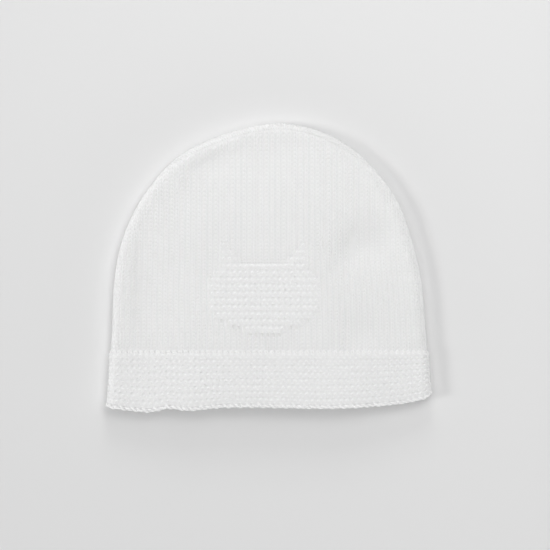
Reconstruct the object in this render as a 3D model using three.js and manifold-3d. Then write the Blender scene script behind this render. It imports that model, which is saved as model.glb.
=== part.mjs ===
// A knit baby cap lying flat on its back: crown towards +Y, opening towards -Y, front panel up.
// Millimetres, +Z up, origin on the surface it lies on, under the middle of the cap.
// Two dome-shaped panels are linked round the crown and down both sides, and a band of garter
// stitch runs round the opening. The head goes in between the panels.

import * as THREE from 'three';
import { mergeVertices } from 'three/addons/utils/BufferGeometryUtils.js';
import Module from 'manifold-3d';

const wasm = await Module();
wasm.setup();

// Driving dimensions
const WALE = 2.81;               // width of one stitch
const FIGURE_RIDGE = 3.45;       // height of one garter ridge, two rows, in the figure
const PANEL_WALL = 2.0;          // thickness of the plain knit
const BAND_WALL = 2.8;           // thickness of the garter knit
const PIECE_GAP = 0.3;           // clearance kept between two pieces
const EDGE_RADIUS = 5.2;         // outside radius of the rounded edge where front turns to back
const CROWN_RISE = 3.9;          // how much higher the middle of the front is than its edges
const CROWN_REACH = 42;          // distance over which the front rises by that much

const BAND_TOP = -42.5;          // where the garter band starts
const BAND_PROUD = 0.8;          // how far the band stands out from the panels
const BAND_RIDGES = 8;
const BAND_GROOVE = 0.6;         // depth of the valley between two ridges
const RIDGE_SHOULDER = 0.3;      // share of a ridge's height from the valley to its shoulder
const BACK_HEM_SHORTER = 1.4;    // the back's hem lies this far inside the front's

const SEAM_HALF_WIDTH = 0.5;
const SEAM_HALF_DEPTH = 1.1;
const SEAM_DEPTH = 1.25;         // the seam's middle line lies this far under the outer face
const SEAM_INSET = 6.2;          // at the crown the seam lies this far onto the front, along the fabric
const SEAM_TURN_LOW = 38;        // below this height the seam runs on the outermost edge
const SEAM_TURN_HIGH = 63;       // above this height it lies fully on the front
const SEAM_DIP = 0.5;            // the panels' edges sink this far beside the seam

const EDGE_BEAD_THICK = 1.3;     // half the cast-on edge's thickness through the fabric
const EDGE_BEAD_BIG = 1.15;      // half its height in the middle of a scallop
const EDGE_BEAD_SMALL = 0.85;    // half its height between two scallops
const SCALLOPS = 58;             // round the whole opening, one for every two stitches

const DOME_STATIONS = 48;        // sections along the dome, from one side of the band to the other
const ARC_STEPS = 4;             // steps round a panel's rounded edge
const END_STEPS = 8;             // steps round each folded end of the band
const ACROSS_STEPS = 12;         // steps across the band's front, and across its back

// The outline seen from above, from the left end of the hem over the crown to the right end
const OUTLINE = [
  { x: -81.7, y: -71.0 },
  { x: -79.5, y: -36.0 },
  { x: -78.0, y: -5.0 },
  { x: -74.4, y: 13.0 },
  { x: -64.9, y: 34.1 },
  { x: -46.8, y: 55.2 },
  { x: -22.6, y: 67.4 },
  { x: 6.0, y: 72.8 },
  { x: 28.7, y: 67.6 },
  { x: 47.8, y: 55.2 },
  { x: 64.6, y: 34.1 },
  { x: 73.2, y: 10.0 },
  { x: 76.9, y: -8.0 },
  { x: 79.4, y: -36.0 },
  { x: 82.1, y: -71.0 },
];

// The lower edge of the front, a slow wave that turns up at the right end
const HEM = [
  { x: -84, y: -70.6 },
  { x: -61, y: -72.8 },
  { x: -50, y: -71.1 },
  { x: -40, y: -72.0 },
  { x: -23, y: -70.6 },
  { x: 0, y: -70.5 },
  { x: 32, y: -71.0 },
  { x: 60, y: -69.4 },
  { x: 76, y: -66.9 },
  { x: 84, y: -63.6 },
];

// Soft dents in the front, each with its own size across and along
const DENTS = [
  { x: 39, y: 15, across: 9, along: 17, depth: 0.9 },
  { x: 44, y: -30, across: 8, along: 9, depth: 0.6 },
  { x: -63, y: 6, across: 8, along: 15, depth: 0.7 },
  { x: -33, y: 54, across: 12, along: 7, depth: 0.6 },
];

// A plain animal's head in garter ridges, from the ears down. A row gives how many ridges are alike
// and how far they run from the figure's middle line, in stitches, the same on both sides.
const FIGURE_MIDDLE = -2.5;
const FIGURE_FOOT = -32.5;
const FIGURE_RAISED = 0.8;
const BAR_SUNK = 0.7;            // how deep a ridge's foot reaches into the panel
const BAR_FOOT = 0.46;           // half a ridge's width at its foot, as a share of its pitch
const BAR_TOP = 0.24;            // and at its top
const BAR_SHOULDER = 0.4;        // where its sides turn in, as a share of its height
const FIGURE_CHART = [
  { ridges: 1, from: 6.5, to: 7.5 },
  { ridges: 1, from: 5.5, to: 7.5 },
  { ridges: 1, from: 4.5, to: 7.5 },
  { ridges: 1, from: 0, to: 7.5 },
  { ridges: 1, from: 0, to: 8.5 },
  { ridges: 5, from: 0, to: 9.5 },
  { ridges: 1, from: 0, to: 8.5 },
  { ridges: 1, from: 0, to: 6.5 },
  { ridges: 1, from: 0, to: 3.5 },
];

const OUTLINE_SAMPLES = 420;
const PANEL_FOOT = BAND_TOP + PIECE_GAP;
const FAN_CENTRE = new THREE.Vector2(0, PANEL_FOOT);

function smoothstep(low, high, value) {
  const t = Math.min(Math.max((value - low) / (high - low), 0), 1);
  return t * t * (3 - 2 * t);
}

function mix(a, b, t) {
  return a + (b - a) * t;
}

// The outline as a fine polyline
const outlineCurve = new THREE.CatmullRomCurve3(OUTLINE.map((p) => new THREE.Vector3(p.x, p.y, 0)));
const outline = outlineCurve.getPoints(OUTLINE_SAMPLES).map((p) => new THREE.Vector2(p.x, p.y));
const hemCurve = new THREE.SplineCurve(HEM.map((p) => new THREE.Vector2(p.x, p.y)));
const hemLine = hemCurve.getPoints(OUTLINE_SAMPLES);

// The value of a polyline's second coordinate where its first one reaches a given value
function lookUp(line, value, from, to) {
  const after = line.findIndex((p) => p[from] >= value);
  const b = line[Math.max(after, 1)];
  const a = line[Math.max(after, 1) - 1];
  return mix(a[to], b[to], (value - a[from]) / (b[from] - a[from]));
}

const highest = outline.reduce((best, p, i) => (p.y > outline[best].y ? i : best), 0);
const leftSide = outline.slice(0, highest);
const rightSide = outline.slice(highest).reverse();

function leftEdge(y) {
  return lookUp(leftSide, y, 'y', 'x');
}

function rightEdge(y) {
  return lookUp(rightSide, y, 'y', 'x');
}

function hemAt(x) {
  return lookUp(hemLine, x, 'x', 'y');
}

function distanceToOutline(x, y) {
  let best = Infinity;
  for (let i = 1; i < outline.length; i += 1) {
    const a = outline[i - 1];
    const b = outline[i];
    const along = ((x - a.x) * (b.x - a.x) + (y - a.y) * (b.y - a.y)) / a.distanceToSquared(b);
    const t = Math.min(Math.max(along, 0), 1);
    best = Math.min(best, Math.hypot(x - mix(a.x, b.x, t), y - mix(a.y, b.y, t)));
  }
  return best;
}

// Sections of the dome: points on the outline at even steps, each with its inward direction
function domeStations() {
  const start = new THREE.Vector2(leftEdge(PANEL_FOOT), PANEL_FOOT);
  const end = new THREE.Vector2(rightEdge(PANEL_FOOT), PANEL_FOOT);
  const line = [start, ...outline.filter((p) => p.y > PANEL_FOOT), end];
  const reached = [0];
  for (let i = 1; i < line.length; i += 1) {
    reached.push(reached[i - 1] + line[i].distanceTo(line[i - 1]));
  }
  const stations = [];
  for (let s = 0; s <= DOME_STATIONS; s += 1) {
    const want = (reached.at(-1) * s) / DOME_STATIONS;
    const i = Math.max(1, reached.findIndex((r) => r >= want - 1e-9));
    const t = (want - reached[i - 1]) / (reached[i] - reached[i - 1]);
    const point = line[i - 1].clone().lerp(line[i], t);
    const along = line[i].clone().sub(line[i - 1]).normalize();
    stations.push({ point, inward: new THREE.Vector2(along.y, -along.x) });
  }
  stations[0].inward.set(1, 0);
  stations[DOME_STATIONS].inward.set(-1, 0);
  return stations;
}

// Heights of the lying cap
function dentAt(x, y) {
  let depth = 0;
  for (const dent of DENTS) {
    depth += dent.depth * Math.exp(-(((x - dent.x) / dent.across) ** 2) - ((y - dent.y) / dent.along) ** 2);
  }
  return depth;
}

function frontHeight(x, y, inside, edgeRadius) {
  const rise = CROWN_RISE * smoothstep(0, CROWN_REACH, inside - edgeRadius);
  return 2 * edgeRadius + rise - dentAt(x, y) * smoothstep(0, EDGE_RADIUS, inside - edgeRadius);
}

function seamAngle(y) {
  return (SEAM_INSET / EDGE_RADIUS) * smoothstep(SEAM_TURN_LOW, SEAM_TURN_HIGH, y);
}

// A point on the panels' rounded edge. The angle is 0 on the outermost line and a quarter turn
// where the front, or with a minus sign the back, lies flat.
function onRoundedEdge(station, angle, depth) {
  const r = EDGE_RADIUS - depth;
  const inside = EDGE_RADIUS - r * Math.cos(angle);
  const plan = station.point.clone().addScaledVector(station.inward, inside);
  return new THREE.Vector3(plan.x, plan.y, EDGE_RADIUS + r * Math.sin(angle));
}

// One wall of a panel, as a row of points for each section: from the seam round the edge and on to
// the middle of the band's top, where all rows meet
const INNER_SHARES = [0.12, 0.26, 0.42, 0.6, 0.8, 1];

function panelWall(stations, side, depth) {
  return stations.map((station) => {
    const seamGap = (SEAM_HALF_WIDTH + PIECE_GAP) / (EDGE_RADIUS - SEAM_DEPTH);
    const first = seamAngle(station.point.y) + side * seamGap;
    const last = (side * Math.PI) / 2;
    const row = [];
    for (let k = 0; k <= ARC_STEPS; k += 1) {
      const dip = k === 0 && depth === 0 ? SEAM_DIP : 0;
      row.push(onRoundedEdge(station, mix(first, last, k / ARC_STEPS), depth + dip));
    }
    const flatStart = new THREE.Vector2(row.at(-1).x, row.at(-1).y);
    for (const share of INNER_SHARES) {
      const plan = flatStart.clone().lerp(FAN_CENTRE, share);
      const inside = distanceToOutline(plan.x, plan.y);
      const top = frontHeight(plan.x, plan.y, inside, EDGE_RADIUS) - depth;
      row.push(new THREE.Vector3(plan.x, plan.y, side > 0 ? top : depth));
    }
    return row;
  });
}

// Mesh helpers. A grid is a list of rows of points, and both walls of a sheet have grids alike.
function addQuad(triangles, a, b, c, d) {
  triangles.push([a, b, c], [a, c, d]);
}

function signedVolume(triangles) {
  return triangles.reduce((sum, [a, b, c]) => sum + a.dot(b.clone().cross(c)), 0);
}

function toGeometry(triangles) {
  const solid = triangles.filter(([a, b, c]) => !a.equals(b) && !b.equals(c) && !c.equals(a));
  const outward = signedVolume(solid) > 0 ? solid : solid.map(([a, b, c]) => [a, c, b]);
  const geometry = new THREE.BufferGeometry();
  geometry.setFromPoints(outward.flat());
  return mergeVertices(geometry, 1e-4);
}

function closedSheet(outer, inner) {
  const triangles = [];
  const rows = outer.length - 1;
  const columns = outer[0].length - 1;
  for (let i = 0; i < rows; i += 1) {
    for (let j = 0; j < columns; j += 1) {
      addQuad(triangles, outer[i][j], outer[i][j + 1], outer[i + 1][j + 1], outer[i + 1][j]);
      addQuad(triangles, inner[i][j], inner[i + 1][j], inner[i + 1][j + 1], inner[i][j + 1]);
    }
    addQuad(triangles, outer[i][0], outer[i + 1][0], inner[i + 1][0], inner[i][0]);
    addQuad(triangles, outer[i + 1][columns], outer[i][columns], inner[i][columns], inner[i + 1][columns]);
  }
  for (let j = 0; j < columns; j += 1) {
    addQuad(triangles, outer[0][j + 1], outer[0][j], inner[0][j], inner[0][j + 1]);
    addQuad(triangles, outer[rows][j], outer[rows][j + 1], inner[rows][j + 1], inner[rows][j]);
  }
  return toGeometry(triangles);
}

// A ring whose section is closed too
function closedRing(sections) {
  const triangles = [];
  const around = sections[0].length;
  sections.forEach((section, i) => {
    const next = sections[(i + 1) % sections.length];
    for (let j = 0; j < around; j += 1) {
      const k = (j + 1) % around;
      addQuad(triangles, section[j], section[k], next[k], next[j]);
    }
  });
  return toGeometry(triangles);
}

// A rod with a flat end at each section list's end
function cappedRod(sections) {
  const triangles = [];
  const around = sections[0].length;
  for (let i = 1; i < sections.length; i += 1) {
    for (let j = 0; j < around; j += 1) {
      const k = (j + 1) % around;
      addQuad(triangles, sections[i - 1][j], sections[i - 1][k], sections[i][k], sections[i][j]);
    }
  }
  for (let j = 1; j < around - 1; j += 1) {
    triangles.push([sections[0][0], sections[0][j + 1], sections[0][j]]);
    triangles.push([sections.at(-1)[0], sections.at(-1)[j], sections.at(-1)[j + 1]]);
  }
  return toGeometry(triangles);
}

function toManifold(geometry) {
  const bare = geometry.clone();
  bare.deleteAttribute('normal');
  bare.deleteAttribute('uv');
  const merged = mergeVertices(bare, 1e-4);
  return new wasm.Manifold(new wasm.Mesh({
    numProp: 3,
    vertProperties: new Float32Array(merged.attributes.position.array),
    triVerts: new Uint32Array(merged.index.array),
  }));
}

function fromManifold(solid) {
  const mesh = solid.getMesh();
  const geometry = new THREE.BufferGeometry();
  geometry.setAttribute('position', new THREE.BufferAttribute(mesh.vertProperties, mesh.numProp));
  geometry.setIndex(new THREE.BufferAttribute(mesh.triVerts, 1));
  return geometry;
}

// The figure: one low bar for each garter ridge, sunk a little into the front panel
function ridgeBar(xLow, xHigh, y, surface) {
  const halfFoot = FIGURE_RIDGE * BAR_FOOT;
  const halfTop = FIGURE_RIDGE * BAR_TOP;
  const section = new THREE.Shape();
  section.moveTo(-halfFoot, -BAR_SUNK);
  section.lineTo(halfFoot, -BAR_SUNK);
  section.lineTo(halfFoot, FIGURE_RAISED * BAR_SHOULDER);
  section.lineTo(halfTop, FIGURE_RAISED);
  section.lineTo(-halfTop, FIGURE_RAISED);
  section.lineTo(-halfFoot, FIGURE_RAISED * BAR_SHOULDER);
  section.closePath();
  const bar = new THREE.ExtrudeGeometry(section, { depth: xHigh - xLow, bevelEnabled: false });
  // The section's own right is +Y and its up is +Z, so the bar runs along +X
  const turn = new THREE.Matrix4().makeBasis(
    new THREE.Vector3(0, 1, 0),
    new THREE.Vector3(0, 0, 1),
    new THREE.Vector3(1, 0, 0),
  );
  bar.applyMatrix4(turn);
  bar.translate(xLow, y, surface);
  return bar;
}

function figureBars() {
  const surface = 2 * EDGE_RADIUS + CROWN_RISE;
  const total = FIGURE_CHART.reduce((sum, row) => sum + row.ridges, 0);
  const bars = [];
  let done = 0;
  for (const row of FIGURE_CHART) {
    for (let k = 0; k < row.ridges; k += 1) {
      const y = FIGURE_FOOT + (total - done - 0.5) * FIGURE_RIDGE;
      const near = row.from * WALE;
      const far = row.to * WALE;
      if (row.from === 0) {
        bars.push(ridgeBar(FIGURE_MIDDLE - far, FIGURE_MIDDLE + far, y, surface));
      } else {
        bars.push(ridgeBar(FIGURE_MIDDLE - far, FIGURE_MIDDLE - near, y, surface));
        bars.push(ridgeBar(FIGURE_MIDDLE + near, FIGURE_MIDDLE + far, y, surface));
      }
      done += 1;
    }
  }
  return bars;
}

// The pieces
function frontPanel(stations) {
  let solid = toManifold(closedSheet(panelWall(stations, 1, 0), panelWall(stations, 1, PANEL_WALL)));
  for (const bar of figureBars()) {
    solid = solid.add(toManifold(bar));
  }
  return fromManifold(solid);
}

function backPanel(stations) {
  return closedSheet(panelWall(stations, -1, 0), panelWall(stations, -1, PANEL_WALL));
}

function crownSeam(stations) {
  const sides = 8;
  const sections = stations.map((station, i) => {
    const angle = seamAngle(station.point.y);
    const middle = onRoundedEdge(station, angle, SEAM_DEPTH);
    const outside = onRoundedEdge(station, angle, 0).sub(middle).normalize();
    const before = stations[Math.max(i - 1, 0)].point;
    const after = stations[Math.min(i + 1, DOME_STATIONS)].point;
    const along = new THREE.Vector3(after.x - before.x, after.y - before.y, 0).normalize();
    if (i === 0 || i === DOME_STATIONS) {
      along.set(0, Math.sign(along.y), 0);
    }
    const across = along.clone().cross(outside).normalize();
    const ring = [];
    for (let k = 0; k < sides; k += 1) {
      const turn = (2 * Math.PI * k) / sides;
      ring.push(middle.clone()
        .addScaledVector(across, SEAM_HALF_WIDTH * Math.cos(turn))
        .addScaledVector(outside, SEAM_HALF_DEPTH * Math.sin(turn)));
    }
    return ring;
  });
  return cappedRod(sections);
}

// The loop round the opening, as steps along the band's flattened section. A step has a share from
// the left fold to the right one, an angle where it is on a fold, and the side it is on.
function bandLoop() {
  const loop = [];
  for (let k = 0; k <= END_STEPS; k += 1) {
    loop.push({ fold: 'left', angle: mix(-Math.PI / 2, Math.PI / 2, k / END_STEPS) });
  }
  for (let k = 1; k < ACROSS_STEPS; k += 1) {
    loop.push({ side: 1, share: k / ACROSS_STEPS });
  }
  for (let k = 0; k <= END_STEPS; k += 1) {
    loop.push({ fold: 'right', angle: mix(Math.PI / 2, -Math.PI / 2, k / END_STEPS) });
  }
  for (let k = 1; k < ACROSS_STEPS; k += 1) {
    loop.push({ side: -1, share: 1 - k / ACROSS_STEPS });
  }
  return loop;
}

const BAND_RADIUS = EDGE_RADIUS + BAND_PROUD / 2;
const EDGE_BEAD_HEIGHT = PIECE_GAP + EDGE_BEAD_BIG + EDGE_BEAD_SMALL;

// A point of the band at a share of the way down from its top, at a depth under its outer face
function onBand(step, down, depth) {
  const reach = BAND_RADIUS - depth;
  const roughLeft = leftEdge(BAND_TOP) - BAND_PROUD;
  const roughRight = rightEdge(BAND_TOP) + BAND_PROUD;
  const leftHanded = step.fold === 'left';
  let roughX = leftHanded ? roughLeft : roughRight;
  let height = BAND_RADIUS + reach * Math.sin(step.angle ?? 0);
  let front = 0.5 + 0.5 * Math.sin(step.angle ?? 0);
  if (step.side) {
    roughX = mix(roughLeft + BAND_RADIUS, roughRight - BAND_RADIUS, step.share);
    front = step.side > 0 ? 1 : 0;
  }
  const foot = hemAt(roughX) + EDGE_BEAD_HEIGHT + (1 - front) * BACK_HEM_SHORTER;
  const y = mix(BAND_TOP, foot, down);
  const left = leftEdge(Math.max(y, OUTLINE[0].y)) - BAND_PROUD;
  const right = rightEdge(Math.max(y, OUTLINE[0].y)) + BAND_PROUD;
  let x = leftHanded ? left + BAND_RADIUS : right - BAND_RADIUS;
  if (step.side) {
    x = mix(left + BAND_RADIUS, right - BAND_RADIUS, step.share);
    const inside = Math.min(x - left, right - x);
    height = step.side > 0 ? frontHeight(x, y, inside, BAND_RADIUS) - depth : depth;
  } else {
    x += (leftHanded ? -1 : 1) * reach * Math.cos(step.angle);
  }
  return new THREE.Vector3(x, y, height);
}

// Down the outside over the ridges, and back up the smooth inside
function bandProfile() {
  const profile = [{ down: 0, depth: BAND_GROOVE }];
  for (let k = 0; k < BAND_RIDGES; k += 1) {
    profile.push({ down: (k + RIDGE_SHOULDER) / BAND_RIDGES, depth: 0 });
    profile.push({ down: (k + 1 - RIDGE_SHOULDER) / BAND_RIDGES, depth: 0 });
    profile.push({ down: (k + 1) / BAND_RIDGES, depth: BAND_GROOVE });
  }
  profile.push({ down: 1, depth: BAND_WALL });
  profile.push({ down: 0.5, depth: BAND_WALL });
  profile.push({ down: 0, depth: BAND_WALL });
  return profile;
}

function brimBand() {
  const profile = bandProfile();
  return closedRing(bandLoop().map((step) => profile.map((p) => onBand(step, p.down, p.depth))));
}

// The cast-on edge: a bead under the band's lower edge, high and low by turns
function castOnEdge() {
  const sides = 6;
  const line = bandLoop().map((step) => onBand(step, 1, BAND_WALL / 2));
  const loop = new THREE.CatmullRomCurve3(line, true);
  const stations = SCALLOPS * 2;
  const down = new THREE.Vector3(0, -1, 0);
  const sections = [];
  for (let i = 0; i < stations; i += 1) {
    const halfHeight = i % 2 === 0 ? EDGE_BEAD_BIG : EDGE_BEAD_SMALL;
    const along = loop.getTangentAt(i / stations);
    const across = along.clone().cross(down).normalize();
    const below = across.clone().cross(along).normalize();
    const middle = loop.getPointAt(i / stations).addScaledVector(down, PIECE_GAP + EDGE_BEAD_BIG);
    const ring = [];
    for (let k = 0; k < sides; k += 1) {
      const turn = (2 * Math.PI * (k + 0.5)) / sides;
      ring.push(middle.clone()
        .addScaledVector(across, EDGE_BEAD_THICK * Math.cos(turn))
        .addScaledVector(below, halfHeight * Math.sin(turn)));
    }
    sections.push(ring);
  }
  return closedRing(sections);
}

const stations = domeStations();
const knit = { roughness: 0.95, metalness: 0 };
const plainKnit = new THREE.MeshStandardMaterial({ color: 0xf1f0ee, ...knit });
const garterKnit = new THREE.MeshStandardMaterial({ color: 0xefeeec, ...knit });
const linkingYarn = new THREE.MeshStandardMaterial({ color: 0xebeae8, ...knit });

const PIECES = [
  { name: 'front_panel', geometry: frontPanel(stations), material: plainKnit },
  { name: 'back_panel', geometry: backPanel(stations), material: plainKnit },
  { name: 'crown_seam', geometry: crownSeam(stations), material: linkingYarn },
  { name: 'brim_band', geometry: brimBand(), material: garterKnit },
  { name: 'cast_on_edge', geometry: castOnEdge(), material: garterKnit },
];

const cap = new THREE.Group();
for (const piece of PIECES) {
  const mesh = new THREE.Mesh(piece.geometry, piece.material);
  mesh.name = piece.name;
  cap.add(mesh);
}

export default cap;
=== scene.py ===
"""Looks of the knit baby cap: every stitch is a loop of yarn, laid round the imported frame.

The cap lies on its back, crown towards +Y, opening towards -Y. Lengths are in millimetres up to the
meshes, which are in metres. A point of the fabric is first given on a flat plan, in stitches and rows,
and then laid round the rounded edge of the cap.
"""
import math

import bpy
import numpy as np
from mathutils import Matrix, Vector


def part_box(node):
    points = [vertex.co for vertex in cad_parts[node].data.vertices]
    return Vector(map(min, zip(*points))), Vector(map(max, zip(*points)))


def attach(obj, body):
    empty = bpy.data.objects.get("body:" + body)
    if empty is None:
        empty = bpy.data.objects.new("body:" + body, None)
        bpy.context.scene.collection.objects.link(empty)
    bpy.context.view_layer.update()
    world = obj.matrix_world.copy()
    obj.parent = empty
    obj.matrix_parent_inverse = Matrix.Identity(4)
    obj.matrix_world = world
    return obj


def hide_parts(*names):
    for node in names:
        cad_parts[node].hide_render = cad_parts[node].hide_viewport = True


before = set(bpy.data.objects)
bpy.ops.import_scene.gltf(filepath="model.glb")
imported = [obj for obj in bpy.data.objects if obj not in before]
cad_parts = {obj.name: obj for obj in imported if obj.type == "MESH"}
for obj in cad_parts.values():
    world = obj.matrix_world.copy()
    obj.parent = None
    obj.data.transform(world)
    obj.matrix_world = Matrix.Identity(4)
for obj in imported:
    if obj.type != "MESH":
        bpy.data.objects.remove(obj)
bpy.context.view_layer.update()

MM = 0.001
HALF_TURN = math.pi
QUARTER_TURN = math.pi / 2
FULL_TURN = 2 * math.pi
TINY = 1e-9

# Walls and edges, as in the part
PANEL_WALL = 2.0             # thickness of the plain knit
BAND_WALL = 2.8              # thickness of the garter knit
EDGE_RADIUS = 5.2            # outside radius of the rounded edge where front turns to back
CROWN_RISE = 3.9             # how much higher the middle of the front is than its edges
CROWN_REACH = 42             # distance over which the front rises by that much
BAND_PROUD = 0.8             # how far the band stands out from the panels
BAND_RIDGES = 8
BACK_HEM_SHORTER = 1.4       # the back's hem lies this far inside the front's
EDGE_BEAD_HEIGHT = 2.3       # from the band's foot to the lowest point of the cast-on edge
SEAM_INSET = 6.2             # at the crown the seam lies this far onto the front
SEAM_TURN_LOW = 38           # below this height the seam runs on the outermost edge
SEAM_TURN_HIGH = 63          # above this height it lies fully on the front

# The knit beside the seam, and the seam's yarn
SEAM_CLEAR = 0.4             # the loops end this far from the seam's middle line
SEAM_BANK = 4.0              # this near to the seam the knit is pressed flat
SEAM_PRESS = 0.5             # and loses this share of its relief
SEAM_MARGIN = 0.2            # the middle of a row's last stitch lies at least this far inside the seam
FEWEST_STITCHES = 3          # a panel ends below the first row that has fewer stitches
SEAM_STRAND = 0.34           # radius of each of the seam's two strands
SEAM_COIL = 0.14             # how far they wind round each other
SEAM_PITCH = 2.6             # length of one of their turns
SEAM_SUNK = 1.6              # their middle line lies this far under the fabric's surface
SEAM_STEPS = 8               # sections of yarn in a turn

# The outline seen from above, from the left end of the hem over the crown to the right end
OUTLINE = (
    (-81.7, -71.0), (-79.5, -36.0), (-78.0, -5.0), (-74.4, 13.0), (-64.9, 34.1),
    (-46.8, 55.2), (-22.6, 67.4), (6.0, 72.8), (28.7, 67.6), (47.8, 55.2),
    (64.6, 34.1), (73.2, 10.0), (76.9, -8.0), (79.4, -36.0), (82.1, -71.0),
)
OUTLINE_SAMPLES = 420
POINTS_AT_ONCE = 4000        # this many points are compared with the outline in one go
OUTLINE_TAIL = 40            # the outline goes on straight this far below the hem

# The lower edge of the front, a slow wave that turns up at the right end
HEM = (
    (-84, -70.6), (-61, -72.8), (-50, -71.1), (-40, -72.0), (-23, -70.6),
    (0, -70.5), (32, -71.0), (60, -69.4), (76, -66.9), (84, -63.6),
)

# Soft dents in the front: where, how wide to the left and to the right, how wide along, how far they
# lean over for each millimetre upwards, how deep
DENTS = (
    {"x": 43, "y": 11, "left": 8, "right": 20, "along": 12, "lean": 0.2, "depth": 4.0},
    {"x": 45, "y": -31, "left": 7, "right": 14, "along": 9, "lean": 0.0, "depth": 2.2},
    {"x": -63, "y": -10, "left": 5, "right": 24, "along": 23, "lean": 0.0, "depth": 1.8},
    {"x": -31, "y": 53, "left": 10, "right": 14, "along": 9, "lean": 0.5, "depth": 1.7},
    {"x": 4, "y": 56, "left": 8, "right": 14, "along": 12, "lean": 0.4, "depth": 0.6},
)

# The stitches
WALES = 58                   # stitches across one side of the cap
WALE_SHIFT = -0.16           # moves the wales so that one lies on the figure's middle line
WALE_CROWDING = 0.05         # the wales are this much wider in the middle, and closer at the sides
WALE_CROWDING_FROM = -70     # they are even below this height
WALE_CROWDING_TO = -10       # and fully crowded above this one
WALE_HOLD = -2               # above this height the wales run straight up
WALE_HOLD_SOFTNESS = 6       # and they straighten over about this distance
SIDE_ROW = 1.9               # height of a row beside the figure
SIDE_ROW_ABOVE = 1.955       # and above it
FIGURE_START_ROW = 5         # plain rows between the band and the figure
FIGURE_FOOT = -32.5          # where the figure's lowest row starts
FIGURE_ROW = 1.725           # the figure's garter rows are lower
MIDDLE_ROW_ABOVE = 2.09      # so the rows above it are drawn down and are higher
FIGURE_PULL_FROM = 27        # the rows are drawn down fully this near to the figure's middle
FIGURE_PULL_TO = 60          # and not at all this far from it
FIGURE_MIDDLE_STITCH = 28    # counted from the left edge
FIGURE_LIFT = 0.45           # the figure stands out of the plain knit
FIGURE_SWELL = 0.54          # and so does the middle of the fabric under it
# The figure from its ears down: a line says how many ridges are alike, and how far they run from the
# middle stitch, in stitches, the same on both sides
FIGURE_CHART = (
    {"ridges": 1, "from": 7, "to": 7},
    {"ridges": 1, "from": 6, "to": 7},
    {"ridges": 1, "from": 5, "to": 7},
    {"ridges": 1, "from": 0, "to": 7},
    {"ridges": 1, "from": 0, "to": 8},
    {"ridges": 5, "from": 0, "to": 9},
    {"ridges": 1, "from": 0, "to": 8},
    {"ridges": 1, "from": 0, "to": 6},
    {"ridges": 1, "from": 0, "to": 3},
)
ROWS_MOST = 70               # a panel has room for this many rows
ROWS_SPARE = 4               # and this many of them stay empty at its end
KNIT = 1.0
PURL = -1.0

# One loop of yarn
LOOP_SWING = 0.228           # how far a leg swings sideways, in stitches
GARTER_SWING = 0.05          # and in garter stitch
LOOP_SPREAD = 0.045          # how far a leg stands outwards, in stitches
LOOP_REACH = 1.00            # half the loop's height, in rows
GARTER_REACH = 1.04          # and in garter stitch
PLAIN_DEPTH = 0.38           # how far the loop goes through the fabric to each side
GARTER_DEPTH = 0.44          # and in garter stitch
FIGURE_RIDGE = 0.15          # how far a garter ridge stands out in the figure, and a valley in
BAND_RIDGE = 0.1             # and the same in the band
BAND_LIP = 0.42              # the band's top ridge stands out by this much
BAND_LIP_ROWS = 2.5          # it starts this many rows below the top, and is full halfway up
FOOT_TURN = 0.9              # a loop has left its neighbour's height by this angle from its foot
YARN_RADIUS = 0.42           # in plain stitch
GARTER_FULLER = 0.1          # the yarn opens up by this share in garter stitch
PLAIN_FLAT = 0.35            # it is pressed flat: this share wider in the fabric and thinner through it
GARTER_FLAT = 0.24           # and in garter stitch
GARTER_BEAD = 0.3            # garter loops are this share thicker at their heads and feet
FRONT_STEPS = 10             # sections of yarn in a stitch
BACK_STEPS = 8               # and on the back
FRONT_SIDES = 6              # sides of the yarn
BACK_SIDES = 5               # and on the back
CORE_THICK = 0.75            # felted middle of the fabric, between the loops' legs and heads
CORE_COLUMNS = 48            # points across a panel's middle
CORE_ROWS = 40               # and up
CORE_CROWDING = 0.85         # they lie closer at the edges by up to this share
CORE_CORNER = 34             # its upper corners lie on the outline at this height
FIGURE_CORE_REACH = 11       # its patch under the figure reaches this many stitches to each side
FIGURE_CORE_SUNK = 0.15      # and lies this far under its face outside the figure
BAND_CORE_OUT = 0.1          # the band's middle is this much thicker outwards
BAND_CORE_TOP = 0.1          # it ends this many rows above the band, so that no gap opens to the panels

# The cast-on edge
EDGE_STRAND = 0.53           # radius of its doubled yarn
EDGE_BEAD = 0.3              # it is this share thicker where it lies outside, and thinner inside
EDGE_COIL = 0.52             # how far the two strands wind round each other
EDGE_DROP = 0.62             # its middle line lies this far below the band's foot
EDGE_OUT = 0.15              # and this far out of the band's middle
EDGE_SCALLOP = 0.16          # it rises and falls by this much with every second stitch
EDGE_STEPS = 12              # sections of yarn in a turn, which is two stitches long

# The finish of yarn and core
TILES = 4                    # the yarn's finish has this many by this many patches to draw from
TILE_STEP = 7                # patches from one stitch to the next
TILE_ROW_STEP = 5            # and from one row to the next
TILE_MIX = 3                 # the stitch times the row, divided by this, mixes them further
CAP_PLACE = 0.1              # a yarn's ends take their finish from round here
CAP_REACH = 0.05
RIM_REACH = 0.01             # a core's rim takes its finish from this small corner
YARN_PALE = (0.882, 0.882, 0.882)
YARN_DEEP = (0.825, 0.825, 0.825)
# the core's colours lie below the yarn's: painted shade of the narrow gaps between the loops
CORE_SHADE_PALE = (0.843, 0.843, 0.843)
CORE_SHADE_DEEP = (0.795, 0.795, 0.795)
PLIES = 3
PLY_TURNS = 4                # turns of the plies in a stitch
FIBRE_SCALE = (60, 220, 1)   # fibres are longer than wide
FIBRE_SLANT = 0.6            # and are turned by this angle, in radians
PATCH_SCALE = 7.0
FUZZ_SCALE = 90.0
PLY_SHADE_TONE = 0.55              # shares of the plies, the fibres and the patches in the yarn's tone; the plies' share is painted shade, darker in the grooves between them
FIBRE_TONE = 0.25
PATCH_TONE = 0.3
FIBRE_RELIEF = 0.35          # height of the fibres, as a share of the plies'
YARN_BUMP = 0.06             # height of the relief drawn on the yarn
CORE_BUMP = 0.1              # and on the core
YARN_SCATTER = 0.5           # how far light spreads inside the yarn

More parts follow.
